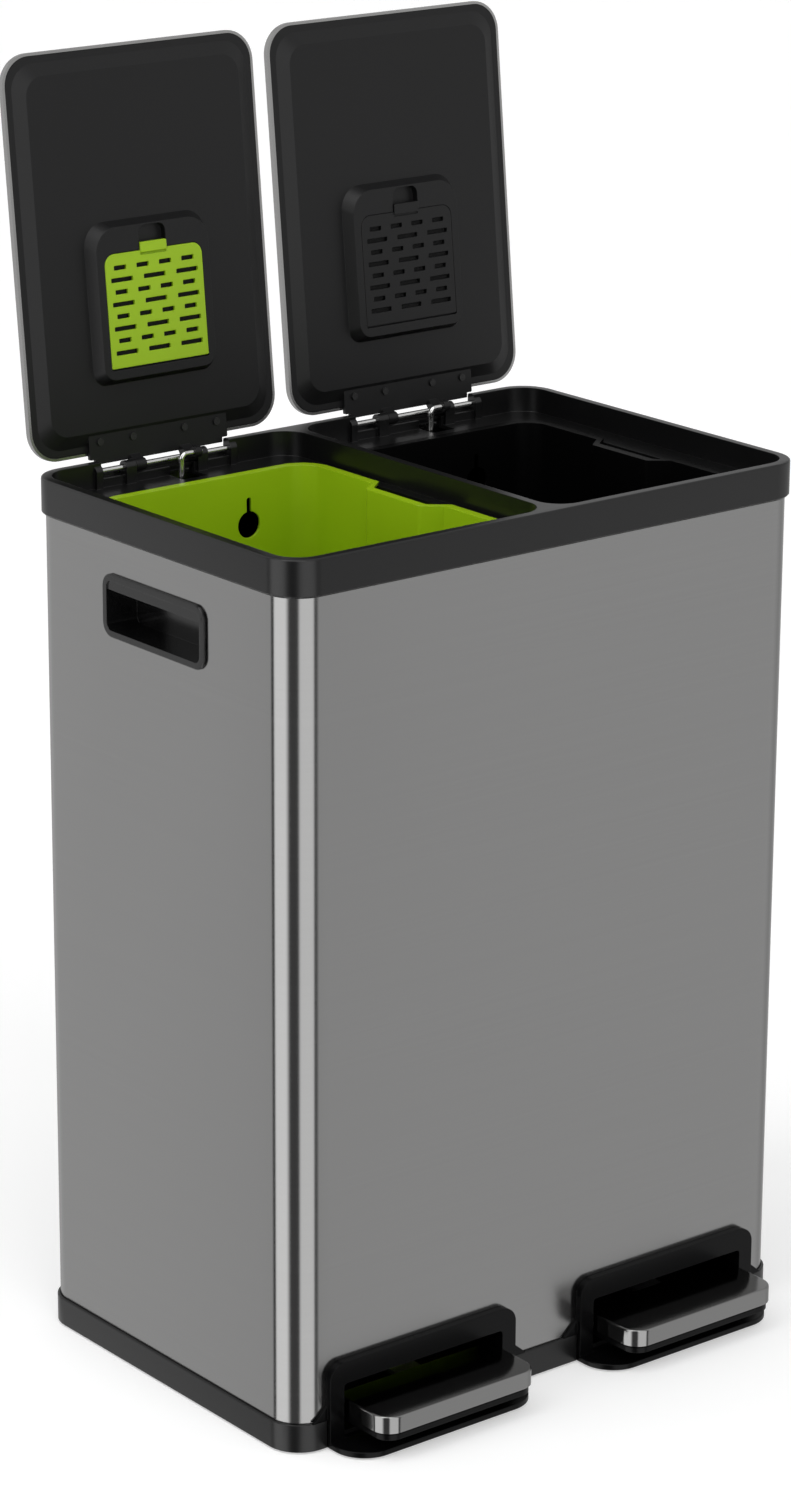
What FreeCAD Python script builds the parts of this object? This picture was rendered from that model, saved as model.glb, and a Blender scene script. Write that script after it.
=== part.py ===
"""Double step bin: a steel body with two lift-out buckets, two lids and two pedals.

All lengths are in millimetres.  The bin stands on z = 0 with its front facing -Y.
It is modelled with both lids open and both pedals down.  The origin is the middle of
the underside of the whole part's box, pedals and open lids included.

Values that end in IN, REACH or GAP are distances from a neighbour, so what fits together
moves together.  PAST is how far a cutting shape reaches beyond what it cuts.

Lengths in y are counted from the middle of the steel body while the pieces are made;
the finished pieces are then moved by FRAME_Y so that the origin is in the middle.
"""
import FreeCAD
import Part
import math
import os

os.makedirs("parts", exist_ok=True)
Vector = FreeCAD.Vector

# ---------------------------------------------------------------- overall sizes
RIM_WIDTH = 450.0
RIM_DEPTH = 298.0
RIM_TOP = 630.0
RIM_HEIGHT = 26.0
RIM_CORNER = 26.0
RIM_EDGE_ROUND = 1.6
FIT_GAP = 0.3
PAST = 1.0

# ---------------------------------------------------------------- steel body
STEEL = 0.8
BODY_INSET = 3.0
BODY_TOP = 614.0
SEAM_WIDTH = 14.0
SEAM_RELIEF = 16.0

# ---------------------------------------------------------------- top rim
LIP_WIDTH = 7.0
BRIDGE_WIDTH = 6.0
OPENING_CORNER = 20.0
SHELF_TOP = 612.0
SHELF_THICK = 2.5
CHANNEL_HEADROOM = 2.0

# ---------------------------------------------------------------- base
BASE_INSET = 0.8
BASE_TOP = 21.6
BASE_CLEAR = 1.5
FLOOR_UNDER = 5.0
FLOOR_TOP = 8.2
BASE_WALL = 3.0
INNER_LIP_TOP = 14.0
INNER_LIP_THICK = 2.0
FOOT_RADIUS = 11.0
FOOT_SIDE_IN = 29.0
FOOT_END_IN = 28.0

# ---------------------------------------------------------------- hinge and lids
HINGE_IN = 5.0
HINGE_Z = 623.5
HINGE_PIN_R = 2.0
HINGE_RUN = 0.06
HINGE_LUG_WALL = 2.5
NOTCH_HALF = 55.0
NOTCH_FLOOR = 618.2
NOTCH_RIDGE = 620.3
NOTCH_RIDGE_THICK = 1.5
HINGE_END = 60.5
KNUCKLE_IN = 17.5
KNUCKLE_OUT = 26.0
KNUCKLE_WALL = 2.4
MID_LUG_IN = 26.4
MID_LUG_OUT = 35.0
LID_OPEN_ANGLE = 96.0
LID_BEHIND = 10.5
LID_GAP = 1.0
LID_FRONT_IN = 3.0
LID_SIDE_IN = 7.6
LID_SPLIT = 13.2
LID_CORNER = 22.0
LID_HEIGHT = 7.0
LID_ROUND = 4.0
HEM_WIDTH = 2.0
HEM_THICK = 1.0
LINER_THICK = 2.5
SLOPE_START = 7.0
SLOPE_END = 16.0
PLATEAU = 4.0
TAB_REACH = 6.6
TAB_STEP = 3.0
TAB_HALF = 59.0
TAB_THICK = 2.8
TAB_ROOT = 14.0
TAB_ROOT_ROUND = 1.0
WEB_ROOT = 5.0
WEB_REAR_ANGLE = 36.8699

# ---------------------------------------------------------------- lifting crank and push rod
CRANK_R = 12.0
CRANK_OPEN_ANGLE = 24.0
CRANK_THICK = 5.0
CRANK_BOSS_WALL = 2.0
CRANK_ARM_HALF = 2.3
ROD_R = 2.0
ROD_RUN = 0.08
ROD_X = 7.0
ROD_BEND = 4.0
ROD_END_PAST = 1.5
POCKET_GAP = 1.4
POCKET_AHEAD = 17.5
GUIDE_Z = 320.0
GUIDE_HEIGHT = 16.0
GUIDE_WIDTH = 16.0
GUIDE_WALL = 2.5
GUIDE_CLEAR = 0.6

# ---------------------------------------------------------------- filter housing in each lid
FRAME_BASE_HALF = 52.5
FRAME_TOP_HALF = 47.5
FRAME_NEAR = 51.0
FRAME_FAR = 156.0
FRAME_DRAFT = 5.0
FRAME_FACE = 12.5
FRAME_FAR_CORNER = 17.0
FRAME_NEAR_CORNER = 10.0
COVER_HALF = 41.2
COVER_NEAR = 58.8
COVER_FAR = 137.8
COVER_THICK = 2.0
COVER_CORNER = 8.0
COVER_NEAR_CORNER = 1.2
COVER_GAP = 0.4
COVER_NEAR_GAP = 1.2
COVER_PIVOT_R = 0.8
COVER_PIVOT_LONG = 1.6
COVER_PIVOT_RUN = 0.06
COVER_PIVOT_IN = 1.0
COVER_LEDGE_DROP = 0.9
SLOT_PITCH = 8.4
SLOT_ROWS = 8
SLOT_WIDTH = 3.2
SLOT_END_ROUND = 0.64
SLOT_FIRST = 69.2
LONG_SLOT = 18.4
LONG_SLOT_PITCH = 27.6
SHORT_SLOT = 10.5
SHORT_SLOT_PITCH = 19.1
LATCH_HALF = 11.0
LATCH_LONG = 5.6
LATCH_PROUD = 1.0
LATCH_ROUND = 1.0
LATCH_ROOT = 1.5
GROOVE_NEAR = 3.2
GROOVE_FAR = 2.0
SCALLOP_LONG = 11.5
SCALLOP_DEEP = 5.5
PAD_HALF = 36.8
PAD_NEAR = 63.2
PAD_FAR = 133.3
PAD_THICK = 6.0
PAD_SEAT = 3.5
PAD_GAP = 0.6
SCREW_HEAD_R = 2.6
SCREW_HEAD_H = 1.3
SCREW_R = 1.2
SCREW_CLEAR = 0.1
LID_SCREW_X = (22.0, 50.0)
LID_SCREW_S = 9.0

# ---------------------------------------------------------------- buckets
BUCKET_SPLIT = 17.0
BUCKET_SIDE_IN = 26.5
BUCKET_FRONT_IN = 22.0
BUCKET_REAR_IN = 36.0
BUCKET_CORNER = 24.0
BUCKET_BOTTOM = 50.0
BUCKET_TAPER = 8.0
BUCKET_WALL = 1.8
BUCKET_FLANGE = 5.0
FLANGE_THICK = 1.8
SHELF_BITE = 3.5
RECESS_DEEP = 13.5
RECESS_HALF = 40.0
RECESS_SLANT = 11.0
RECESS_ROUND = 5.0
RECESS_TALL = 150.0
RECESS_SPARE = 12.0
BAG_HOLE_R = 9.6
BAG_HOLE_X = 36.7
BAG_HOLE_Z = 577.0
BAG_SLOT_HALF = 2.0
BAG_SLOT_ROUND = 1.8
BAG_SLOT_LONG = 19.5

# ---------------------------------------------------------------- side handles
HANDLE_Y = 3.6
HANDLE_WIDTH = 115.4
HANDLE_LOW = 535.3
HANDLE_HIGH = 579.8
HANDLE_CORNER = 10.0
HANDLE_PROUD = 2.2
HANDLE_EDGE_ROUND = 0.88
HANDLE_BORDER = 3.0
HANDLE_BUCKET_GAP = 3.5
HANDLE_WALL = 1.8
HANDLE_LIP_LOW = 568.3
HANDLE_LIP_THICK = 3.0
HANDLE_LIP_BACK = 1.0

# ---------------------------------------------------------------- pedals
BEZEL_HALF = 82.0
BEZEL_TOP = 62.5
BEZEL_CORNER = 12.0
BEZEL_PROUD = 5.5
BEZEL_ROUND = 1.0
FLARE_OUT = 12.0
FLARE_TOP = 32.0
FLARE_THICK = 2.2
SLOT_HALF = 70.0
SLOT_LOW = 5.5
SLOT_HIGH = 46.5
SLOT_CORNER = 3.0
SLEEVE_WALL = 2.0
SLEEVE_LONG = 8.0
TOE_LIP_REACH = 36.0
TOE_LIP_CORNER = 25.0
PEDAL_HALF = 68.0
PEDAL_REACH = 48.0
PEDAL_TUCK = 6.0
PEDAL_TOP = 34.5
PEDAL_SKIRT = 12.3
PEDAL_CORNER = 14.0
PEDAL_ROUND = 1.6
CORE_INSET = 0.2
CORE_LOW = 16.5
CORE_WAIST_LOW = 20.6
CORE_WAIST_HIGH = 21.6
CORE_WAIST_INSET = 2.4
CORE_FOOT_INSET = 0.7
CORE_WALL = 3.0
CORE_DECK = 2.6
LEVER_HALF = 9.0
LEVER_THICK = 3.0
LEVER_TOE_IN = 14.0
LEVER_STRIP_AHEAD = 20.0
LEVER_REAR_GAP = 0.7
LEVER_PIVOT_Y = -40.0
LEVER_PIVOT_Z = 32.0
LEVER_TILT = 2.6
LEVER_TUBE_R = 5.6
LEVER_PIN_R = 3.0
LEVER_PIN_RUN = 0.08
LEVER_SLOT_GAP = 0.15
EYE_THICK = 3.0
EYE_X = 10.0
EYE_LONG = 34.5
EYE_UP = 0.9
EYE_DOWN = 2.5
EYE_SIDE = 0.6
EYE_RIM = 2.2
BRACKET_THICK = 2.0
BRACKET_GAP = 1.0
BRACKET_EAR_HALF = 9.0
BRACKET_EAR_ROUND = 8.55
BRACKET_FOOT = 12.0
BRACKET_FOOT_HALF = 15.0
PIN_HEAD_R = 4.6
PIN_HEAD_H = 1.5

# ---------------------------------------------------------------- worked-out places
BODY_X = RIM_WIDTH / 2 - BODY_INSET
BODY_Y = RIM_DEPTH / 2 - BODY_INSET
BODY_CORNER = RIM_CORNER - BODY_INSET
FOOT_X = RIM_WIDTH / 2 - FOOT_SIDE_IN
FOOT_Y = RIM_DEPTH / 2 - FOOT_END_IN
RIM_LOW = RIM_TOP - RIM_HEIGHT
SHELF_UNDER = SHELF_TOP - SHELF_THICK
OPENING_X = RIM_WIDTH / 2 - LIP_WIDTH
OPENING_Y = RIM_DEPTH / 2 - LIP_WIDTH
HINGE_Y = RIM_DEPTH / 2 - HINGE_IN
LID_EDGE_Z = RIM_TOP + LID_GAP
LID_REAR_Y = HINGE_Y - LID_BEHIND
LID_LENGTH = LID_REAR_Y + RIM_DEPTH / 2 - LID_FRONT_IN
LID_WIDTH = (RIM_WIDTH - LID_SPLIT) / 2 - LID_SIDE_IN
SIDE_X = (LID_SPLIT + LID_WIDTH) / 2
POCKET_FRONT_Y = HINGE_Y - POCKET_AHEAD
LUG_R = HINGE_PIN_R + HINGE_LUG_WALL
KNUCKLE_R = HINGE_PIN_R + KNUCKLE_WALL
CRANK_BOSS_R = ROD_R + CRANK_BOSS_WALL
CRANK_CLOSED_ANGLE = CRANK_OPEN_ANGLE - LID_OPEN_ANGLE
ROD_Y = HINGE_Y - CRANK_R * math.cos(math.radians(CRANK_OPEN_ANGLE))
ROD_TOP_Z = HINGE_Z + CRANK_R * math.sin(math.radians(CRANK_OPEN_ANGLE))
ROD_CLOSED_Y = HINGE_Y - CRANK_R * math.cos(math.radians(CRANK_CLOSED_ANGLE))
ROD_FORWARD_Y = HINGE_Y - CRANK_R
ROD_END_X = KNUCKLE_IN + CRANK_THICK + ROD_END_PAST
TOE_LIP_Y = -BODY_Y - TOE_LIP_REACH
PEDAL_FRONT = -BODY_Y - PEDAL_REACH
PEDAL_REAR = -BODY_Y + PEDAL_TUCK
LEVER_FRONT = PEDAL_FRONT + LEVER_TOE_IN
LEVER_STRIP_REAR = BODY_Y - LEVER_STRIP_AHEAD
LEVER_REAR = BODY_Y - STEEL - LEVER_REAR_GAP
EYE_FRONT = LEVER_REAR - EYE_LONG
LEVER_REACH = ROD_Y - LEVER_PIVOT_Y
ROD_FOOT_Z = LEVER_PIVOT_Z + LEVER_REACH * math.tan(math.radians(LEVER_TILT))
COVER_PIVOT_S = COVER_NEAR + COVER_PIVOT_IN
COVER_PIVOT_O = FRAME_FACE - COVER_THICK / 2
LID_FAR_CENTRE = LID_LENGTH - LID_ROUND
LID_LEAN = math.radians(LID_OPEN_ANGLE - 90.0)
CROWN_CENTRE = LID_HEIGHT - LID_ROUND
BUCKET_WIDTH = (RIM_WIDTH - BUCKET_SPLIT) / 2 - BUCKET_SIDE_IN
BUCKET_DEPTH = RIM_DEPTH - BUCKET_FRONT_IN - BUCKET_REAR_IN
BUCKET_X = (BUCKET_SPLIT + BUCKET_WIDTH) / 2
BUCKET_Y = (BUCKET_FRONT_IN - BUCKET_REAR_IN) / 2
BUCKET_WALL_X = BUCKET_X + BUCKET_WIDTH / 2 - BUCKET_FLANGE
HANDLE_DEEP = BODY_X - BUCKET_WALL_X - HANDLE_BUCKET_GAP


def open_lid_y(s, o):
    """y of a lid point with the lid open: s along the lid from its hinge edge, o inwards."""
    back = LID_REAR_Y - s - HINGE_Y
    up = LID_EDGE_Z - o - HINGE_Z
    return HINGE_Y - back * math.sin(LID_LEAN) + up * math.cos(LID_LEAN)


REAR_MOST = open_lid_y(LID_FAR_CENTRE, -CROWN_CENTRE) + LID_ROUND
FRAME_Y = -(PEDAL_FRONT + REAR_MOST) / 2


# ---------------------------------------------------------------- drawing helpers
def place_point(u, v, plane, level):
    """The 3-D point of flat coordinates u, v on the named plane at the given level."""
    if plane == "xy":
        return Vector(u, v, level)
    if plane == "xz":
        return Vector(u, level, v)
    return Vector(level, u, v)


def outline(points, radii, plane="xy", level=0.0):
    """A closed wire through the points, each corner rounded by its radius."""
    if not isinstance(radii, (list, tuple)):
        radii = [radii] * len(points)
    count = len(points)
    starts = []
    ends = []
    middles = []
    for i in range(count):
        corner = Vector(points[i][0], points[i][1], 0)
        before = Vector(points[i - 1][0], points[i - 1][1], 0) - corner
        after = Vector(points[(i + 1) % count][0], points[(i + 1) % count][1], 0) - corner
        before.normalize()
        after.normalize()
        if radii[i] <= 0:
            starts.append(corner)
            ends.append(corner)
            middles.append(None)
            continue
        half = before.getAngle(after) / 2
        run = radii[i] / math.tan(half)
        bisector = before + after
        bisector.normalize()
        centre = corner + bisector * (radii[i] / math.sin(half))
        starts.append(corner + before * run)
        ends.append(corner + after * run)
        middles.append(centre - bisector * radii[i])
    edges = []
    for i in range(count):
        following = (i + 1) % count
        if middles[i] is not None:
            arc_points = [place_point(p.x, p.y, plane, level) for p in (starts[i], middles[i], ends[i])]
            edges.append(Part.Arc(*arc_points).toShape())
        a = place_point(ends[i].x, ends[i].y, plane, level)
        b = place_point(starts[following].x, starts[following].y, plane, level)
        if a.distanceToPoint(b) > 1e-6:
            edges.append(Part.LineSegment(a, b).toShape())
    return Part.Wire(edges)


def prism(points, radii, plane, low, high):
    """A solid with the rounded outline, from one level to another across its plane."""
    run = {"xy": Vector(0, 0, high - low), "xz": Vector(0, high - low, 0), "yz": Vector(high - low, 0, 0)}
    return Part.Face(outline(points, radii, plane, low)).extrude(run[plane])


def rectangle(x0, y0, x1, y1):
    """The four corners of an upright rectangle, counter-clockwise."""
    return [(x0, y0), (x1, y0), (x1, y1), (x0, y1)]


def block(x0, y0, z0, x1, y1, z1, radius=0.0):
    """A block between two corners, with its upright edges rounded."""
    return prism(rectangle(x0, y0, x1, y1), radius, "xy", z0, z1)


def centred_block(half_x, half_y, z0, z1, radius):
    """A block centred on the z axis, with its upright edges rounded."""
    return block(-half_x, -half_y, z0, half_x, half_y, z1, radius)


def taper(points_a, radii_a, level_a, points_b, radii_b, level_b):
    """A solid that runs straight from one outline to another of as many corners."""
    wires = [outline(points_a, radii_a, "xy", level_a), outline(points_b, radii_b, "xy", level_b)]
    return Part.makeLoft(wires, True, True)


def rod_x(radius, x0, x1, y, z):
    """A round bar along x."""
    return Part.makeCylinder(radius, x1 - x0, Vector(x0, y, z), Vector(1, 0, 0))


def rod_z(radius, x, y, z0, z1):
    """A round bar along z."""
    return Part.makeCylinder(radius, z1 - z0, Vector(x, y, z0), Vector(0, 0, 1))


def edges_at(solid, axis, level):
    """The edges of a solid that lie wholly at one level of an axis."""
    found = []
    for edge in solid.Edges:
        box = edge.BoundBox
        low, high = {"x": (box.XMin, box.XMax), "y": (box.YMin, box.YMax), "z": (box.ZMin, box.ZMax)}[axis]
        if abs(low - level) < 1e-4 and abs(high - level) < 1e-4:
            found.append(edge)
    return found


def joined(pieces):
    """One solid from pieces that touch or overlap."""
    whole = pieces[0]
    for piece in pieces[1:]:
        whole = whole.fuse(piece)
    return whole.removeSplitter()


def turned(shape, y, z, degrees):
    """A copy turned about a line along x through y, z."""
    copy = shape.copy()
    copy.rotate(Vector(0, y, z), Vector(1, 0, 0), degrees)
    return copy


def save(name, shape):
    """Write one node's STEP file, moved into the part's own frame."""
    moved = shape.copy()
    moved.translate(Vector(0, FRAME_Y, 0))
    solids = moved.Solids
    node = solids[0] if len(solids) == 1 else Part.makeCompound(solids)
    node.exportStep("parts/" + name + ".step")
    print("%-22s solids %2d  volume %9.0f" % (name, len(solids), sum(s.Volume for s in solids)))


# ---------------------------------------------------------------- body, rim and base
def body_shell():
    """The folded steel wrap with its seam, two handle holes and two pedal holes."""
    outer = centred_block(BODY_X, BODY_Y, FLOOR_TOP, BODY_TOP, BODY_CORNER)
    inner = centred_block(BODY_X - STEEL, BODY_Y - STEEL, FLOOR_TOP, BODY_TOP, BODY_CORNER - STEEL)
    shell = outer.cut(inner)
    seam_face = BODY_Y - STEEL
    seam = block(-SEAM_WIDTH / 2, seam_face - STEEL, FLOOR_TOP, SEAM_WIDTH / 2, seam_face, BODY_TOP)
    shell = shell.fuse(seam).removeSplitter()
    hole = rectangle(*handle_box(HANDLE_BORDER - FIT_GAP))
    for side in (-1, 1):
        ends = sorted((side * (BODY_X - 2 * STEEL), side * (BODY_X + STEEL)))
        shell = shell.cut(prism(hole, HANDLE_CORNER - HANDLE_BORDER + FIT_GAP, "yz", ends[0], ends[1]))
        half = SLOT_HALF + SLEEVE_WALL + FIT_GAP
        top = SLOT_HIGH + SLEEVE_WALL + FIT_GAP
        centre = side * SIDE_X
        shell = shell.cut(block(centre - half, -BODY_Y - STEEL, FLOOR_TOP, centre + half, -BODY_Y + 2 * STEEL, top))
    return shell


def channel_cut(low, high):
    """The ring-shaped groove that the steel wrap's edge stands in."""
    outer = centred_block(BODY_X + FIT_GAP, BODY_Y + FIT_GAP, low, high, BODY_CORNER + FIT_GAP)
    deep = STEEL + FIT_GAP
    inner = centred_block(BODY_X - deep, BODY_Y - deep, low, high, BODY_CORNER - deep)
    return outer.cut(inner).fuse(seam_relief(low, high))


def seam_relief(low, high):
    """The wider stretch of the groove, where the seam doubles the steel."""
    half = SEAM_RELIEF / 2
    return block(-half, BODY_Y - 2 * STEEL - FIT_GAP, low, half, BODY_Y + FIT_GAP, high)


def hinge_lug(x0, x1):
    """A lug that stands on the shelf and holds the hinge pin."""
    foot = block(x0, HINGE_Y - LUG_R, SHELF_TOP, x1, RIM_DEPTH / 2 - RIM_EDGE_ROUND, HINGE_Z)
    return foot.fuse(rod_x(LUG_R, x0, x1, HINGE_Y, HINGE_Z))


def top_rim():
    """The moulded rim: lip, shelf for the buckets, thin bridge and hinge lugs."""
    rim = centred_block(RIM_WIDTH / 2, RIM_DEPTH / 2, RIM_LOW, RIM_TOP, RIM_CORNER)
    rim = rim.makeFillet(RIM_EDGE_ROUND, edges_at(rim, "z", RIM_TOP))
    rim = rim.makeChamfer(RIM_EDGE_ROUND, edges_at(rim, "z", RIM_LOW))
    clear = BODY_X + FIT_GAP
    rim = rim.cut(centred_block(clear, BODY_Y + FIT_GAP, RIM_LOW, SHELF_UNDER, BODY_CORNER + FIT_GAP))
    hole_half = BUCKET_WIDTH / 2 - SHELF_BITE
    hole_front = BUCKET_Y - BUCKET_DEPTH / 2 + SHELF_BITE
    hole_rear = BUCKET_Y + BUCKET_DEPTH / 2 - SHELF_BITE
    for side in (-1, 1):
        inner, outer = sorted((side * BRIDGE_WIDTH / 2, side * OPENING_X))
        rim = rim.cut(block(inner, -OPENING_Y, SHELF_TOP, outer, OPENING_Y, RIM_TOP + PAST, OPENING_CORNER))
        middle = side * BUCKET_X
        radius = BUCKET_CORNER - SHELF_BITE
        ends = (middle - hole_half, middle + hole_half)
        rim = rim.cut(block(ends[0], hole_front, RIM_LOW, ends[1], hole_rear, RIM_TOP, radius))
    for side in (-1, 1):
        centre = side * SIDE_X
        ends = (centre - NOTCH_HALF, centre + NOTCH_HALF)
        notch = block(ends[0], OPENING_Y - PAST, NOTCH_FLOOR, ends[1], RIM_DEPTH, RIM_TOP + PAST)
        rim = rim.cut(notch)
        ridge_y = RIM_DEPTH / 2 - NOTCH_RIDGE_THICK
        ridge = block(ends[0], ridge_y, NOTCH_FLOOR, ends[1], RIM_DEPTH / 2, NOTCH_RIDGE)
        rim = rim.fuse(ridge)
        for turn in (-1, 1):
            for near, far in ((MID_LUG_IN, MID_LUG_OUT), (NOTCH_HALF, HINGE_END)):
                x0, x1 = sorted((centre + turn * near, centre + turn * far))
                rim = rim.fuse(hinge_lug(x0, x1))
        rear = BODY_Y - STEEL - FIT_GAP / 2
        x0 = centre + ROD_X - ROD_R - POCKET_GAP
        x1 = centre + ROD_END_X + FIT_GAP
        rim = rim.cut(block(x0, POCKET_FRONT_Y, RIM_LOW, x1, rear, RIM_TOP + PAST))
        reach = HINGE_END + FIT_GAP
        rim = rim.cut(rod_x(HINGE_PIN_R + HINGE_RUN, centre - reach, centre + reach, HINGE_Y, HINGE_Z))
    return rim.cut(channel_cut(SHELF_UNDER, BODY_TOP + CHANNEL_HEADROOM)).removeSplitter()


def base_tray():
    """The moulded base: outer wall, floor and the lip that the steel wrap stands in."""
    half_x = RIM_WIDTH / 2 - BASE_INSET
    half_y = RIM_DEPTH / 2 - BASE_INSET
    tray = centred_block(half_x, half_y, BASE_CLEAR, BASE_TOP, RIM_CORNER - BASE_INSET)
    tray = tray.makeFillet(RIM_EDGE_ROUND / 2, edges_at(tray, "z", BASE_TOP))
    clear = BODY_CORNER + FIT_GAP
    tray = tray.cut(centred_block(BODY_X + FIT_GAP, BODY_Y + FIT_GAP, FLOOR_TOP, BASE_TOP, clear))
    under_x = half_x - BASE_WALL
    under_y = half_y - BASE_WALL
    tray = tray.cut(centred_block(under_x, under_y, BASE_CLEAR, FLOOR_UNDER, RIM_CORNER - BASE_WALL))
    lip_out = STEEL + FIT_GAP
    lip_in = lip_out + INNER_LIP_THICK
    lip = centred_block(BODY_X - lip_out, BODY_Y - lip_out, FLOOR_TOP, INNER_LIP_TOP, BODY_CORNER - lip_out)
    hole = centred_block(BODY_X - lip_in, BODY_Y - lip_in, FLOOR_TOP, INNER_LIP_TOP, BODY_CORNER - lip_in)
    tray = tray.fuse(lip.cut(hole))
    for side in (-1, 1):
        centre = side * SIDE_X
        half = BEZEL_HALF + FIT_GAP
        tray = tray.cut(block(centre - half, -RIM_DEPTH, 0, centre + half, -BODY_Y, BASE_TOP + PAST))
        half = SLOT_HALF + SLEEVE_WALL + FIT_GAP
        tray = tray.cut(block(centre - half, -BODY_Y, FLOOR_TOP, centre + half, -BODY_Y + lip_in, BASE_TOP))
        for x, y in bracket_screw_places(centre):
            tray = tray.cut(rod_z(SCREW_R + SCREW_CLEAR, x, y, 0, FLOOR_TOP))
    return tray.cut(seam_relief(FLOOR_TOP, INNER_LIP_TOP)).removeSplitter()


def rubber_feet():
    """Four round rubber pads under the floor's corners."""
    places = [(x, y) for x in (-FOOT_X, FOOT_X) for y in (-FOOT_Y, FOOT_Y)]
    return Part.makeCompound([rod_z(FOOT_RADIUS, x, y, 0, FLOOR_UNDER) for x, y in places])


# ---------------------------------------------------------------- side handles
def handle_box(inset):
    """The low y, low z, high y and high z of the handle outline, drawn in by inset."""
    half = HANDLE_WIDTH / 2 - inset
    return (HANDLE_Y - half, HANDLE_LOW + inset, HANDLE_Y + half, HANDLE_HIGH - inset)


def handle_insert(side):
    """A moulded hand-hold: flange outside the steel, cup inside, and a grip lip at the top."""
    face = BODY_X + HANDLE_PROUD
    back = BODY_X - HANDLE_DEEP
    seat = BODY_X + FIT_GAP
    inner = HANDLE_BORDER + HANDLE_WALL
    flange = prism(rectangle(*handle_box(0)), HANDLE_CORNER, "yz", seat, face)
    flange = flange.makeFillet(HANDLE_EDGE_ROUND, edges_at(flange, "x", face))
    cup = prism(rectangle(*handle_box(HANDLE_BORDER)), HANDLE_CORNER - HANDLE_BORDER, "yz", back, seat)
    cavity = prism(rectangle(*handle_box(inner)), HANDLE_CORNER - inner, "yz", back + HANDLE_WALL, face)
    insert = flange.fuse(cup).cut(cavity)
    low_y, _, high_y, _ = handle_box(HANDLE_BORDER)
    lip_face = face - HANDLE_LIP_BACK
    lip_top = HANDLE_HIGH - HANDLE_BORDER
    lip = rectangle(low_y, HANDLE_LIP_LOW, high_y, lip_top)
    round_top = [0, 0, HANDLE_CORNER - HANDLE_BORDER, HANDLE_CORNER - HANDLE_BORDER]
    insert = insert.fuse(prism(lip, round_top, "yz", lip_face - HANDLE_LIP_THICK, lip_face)).removeSplitter()
    if side < 0:
        insert = insert.mirror(Vector(0, 0, 0), Vector(1, 0, 0))
    return insert


# ---------------------------------------------------------------- pedal side
def pedal_bezel(centre):
    """The moulded surround in front of the steel, with its toe lip and slot sleeve."""
    face = -BODY_Y - BEZEL_PROUD
    seat = -BODY_Y - FIT_GAP
    half = BEZEL_HALF
    over = BASE_TOP + FIT_GAP
    points = rectangle(centre - half, BASE_CLEAR, centre + half, BEZEL_TOP)
    plate = prism(points, [0, 0, BEZEL_CORNER, BEZEL_CORNER], "xz", face, seat)
    out = half + FLARE_OUT
    points = [(out, over), (half, FLARE_TOP), (-half, FLARE_TOP), (-out, over)]
    flare = prism([(centre + x, z) for x, z in points], 0, "xz", seat - FLARE_THICK, seat)
    toe = block(centre - half, TOE_LIP_Y, BASE_CLEAR, centre + half, seat, SLOT_LOW,
                [TOE_LIP_CORNER, TOE_LIP_CORNER, 0, 0])
    toe = toe.makeFillet(BEZEL_ROUND, front_edges(toe, SLOT_LOW, TOE_LIP_Y + TOE_LIP_CORNER))
    wall = SLEEVE_WALL
    sleeve = block(centre - SLOT_HALF - wall, seat, FLOOR_TOP + FIT_GAP, centre + SLOT_HALF + wall,
                   seat + SLEEVE_LONG, SLOT_HIGH + wall)
    slot = prism(rectangle(centre - SLOT_HALF, SLOT_LOW, centre + SLOT_HALF, SLOT_HIGH), SLOT_CORNER,
                 "xz", face - PAST, seat + SLEEVE_LONG + PAST)
    under = block(centre - SLOT_HALF, seat, 0, centre + SLOT_HALF, seat + SLEEVE_LONG + PAST, SLOT_LOW + SLOT_CORNER)
    return joined([plate, flare, toe, sleeve]).cut(slot).cut(under).removeSplitter()


def front_edges(solid, level, rear):
    """The edges at one height of a solid that lie in front of the line y = rear."""
    return [edge for edge in edges_at(solid, "z", level) if edge.BoundBox.YMax < rear + 1e-3]


def pedal_outline(centre, inset):
    """The pedal's plan outline, drawn in by inset, and its corner radii."""
    points = rectangle(centre - PEDAL_HALF + inset, PEDAL_FRONT + inset, centre + PEDAL_HALF - inset, PEDAL_REAR)
    radius = PEDAL_CORNER - inset
    return points, [radius, radius, 0, 0]


def pedal_cover(centre):
    """The pressed steel tread: flat top with a rounded edge and a shallow skirt."""
    low = PEDAL_TOP - PEDAL_SKIRT
    points, radii = pedal_outline(centre, 0)
    cover = prism(points, radii, "xy", low, PEDAL_TOP)
    top = [edge for edge in edges_at(cover, "z", PEDAL_TOP) if edge.BoundBox.YMin < PEDAL_REAR - PAST]
    cover = cover.makeFillet(PEDAL_ROUND, top)
    points, radii = pedal_outline(centre, STEEL)
    return cover.cut(prism(points, radii, "xy", low, PEDAL_TOP - STEEL))


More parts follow.
